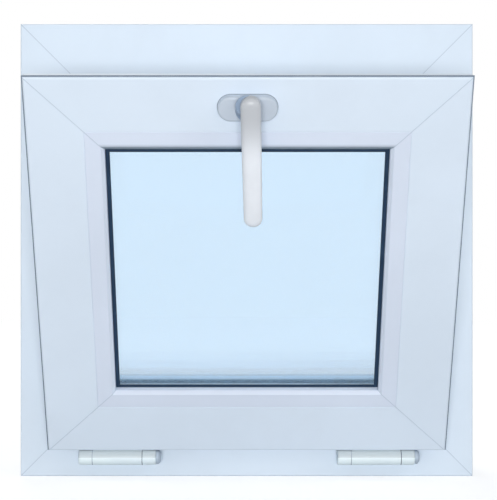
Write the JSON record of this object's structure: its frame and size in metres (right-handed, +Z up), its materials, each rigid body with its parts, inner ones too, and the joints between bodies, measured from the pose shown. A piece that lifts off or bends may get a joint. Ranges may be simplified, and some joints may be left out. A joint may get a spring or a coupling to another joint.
{
  "type": "upvc tilt window",
  "caption": "Small white uPVC window with a bottom-hung inward tilting sash, lever handle, butt hinges and clear double glazing, shown tilted open.",
  "frame": {"origin": "middle of the outer frame's sill face, half way through the frame's depth", "axes": "+X right seen from the room, +Y outwards through the wall, +Z up"},
  "size_m": [0.55, 0.3228, 0.55],
  "materials": {
    "frame_upvc": "satin extruded uPVC",
    "sash_upvc": "satin extruded uPVC",
    "bead_upvc": "satin extruded uPVC",
    "glazing_gasket": "matt EPDM",
    "weather_seal": "matt grey EPDM",
    "clear_glass": "clear float glass",
    "spacer_bar": "pale grey coat",
    "edge_sealant": "matt sealant",
    "hinge_cover": "satin moulded cover",
    "hinge_pin_cover": "satin grey",
    "handle_white": "white powder coat",
    "rosette_white": "white moulded cover",
    "drain_cap_white": "moulded cap",
    "zinc_steel": "bright zinc plate"
  },
  "bodies": {
    "frame": {"frame_sill": "frame_upvc", "frame_head": "frame_upvc", "frame_jamb_left": "frame_upvc", "frame_jamb_right": "frame_upvc", "frame_seal": "weather_seal", "hinge_left_frame_part": "hinge_cover", "hinge_left_pin": "hinge_pin_cover", "keep_left": "zinc_steel", "stay_bracket_left": "zinc_steel", "drain_cap_left": "drain_cap_white", "hinge_right_frame_part": "hinge_cover", "hinge_right_pin": "hinge_pin_cover", "keep_right": "zinc_steel", "stay_bracket_right": "zinc_steel", "drain_cap_right": "drain_cap_white"},
    "sash": {"sash_top_rail": "sash_upvc", "sash_bottom_rail": "sash_upvc", "sash_stile_left": "sash_upvc", "sash_stile_right": "sash_upvc", "bead_top": "bead_upvc", "bead_bottom": "bead_upvc", "bead_left": "bead_upvc", "bead_right": "bead_upvc", "glass_inner_pane": "clear_glass", "glass_outer_pane": "clear_glass", "glass_spacer": "spacer_bar", "glass_edge_seal": "edge_sealant", "glazing_gasket_inner": "glazing_gasket", "glazing_gasket_outer": "glazing_gasket", "sash_seal": "weather_seal", "handle_rosette": "rosette_white", "lock_rail": "zinc_steel", "hinge_left_sash_part": "hinge_cover", "lock_cam_left": "zinc_steel", "stay_guide_left": "zinc_steel", "hinge_right_sash_part": "hinge_cover", "lock_cam_right": "zinc_steel", "stay_guide_right": "zinc_steel"},
    "handle": {"handle_lever": "handle_white", "handle_spindle": "zinc_steel"},
    "stay_left": {"stay_arm_left": "zinc_steel"},
    "stay_right": {"stay_arm_right": "zinc_steel"}
  },
  "joints": [
    {"name": "sash_tilt", "type": "hinge", "parent": "frame", "child": "sash", "pos_m": [0, -0.05, 0.0265], "axis": [1, 0, 0], "range_deg": [-25, 0]},
    {"name": "handle_turn", "type": "hinge", "parent": "sash", "child": "handle", "pos_m": [0, -0.24347, 0.43667], "axis": [0, -0.9063, -0.4226], "range_deg": [0, 90]},
    {"name": "stay_left_swing", "type": "hinge", "parent": "frame", "child": "stay_left", "pos_m": [-0.205, -0.022, 0.1765], "axis": [1, 0, 0], "range_deg": [-42.7, 0]},
    {"name": "stay_right_swing", "type": "hinge", "parent": "frame", "child": "stay_right", "pos_m": [0.205, -0.022, 0.1765], "axis": [1, 0, 0], "range_deg": [-42.7, 0]}
  ],
  "couplings": [
    {"joint": "stay_left_swing", "follows": "sash_tilt", "ratio": 1.7075},
    {"joint": "stay_right_swing", "follows": "sash_tilt", "ratio": 1.7075}
  ]
}
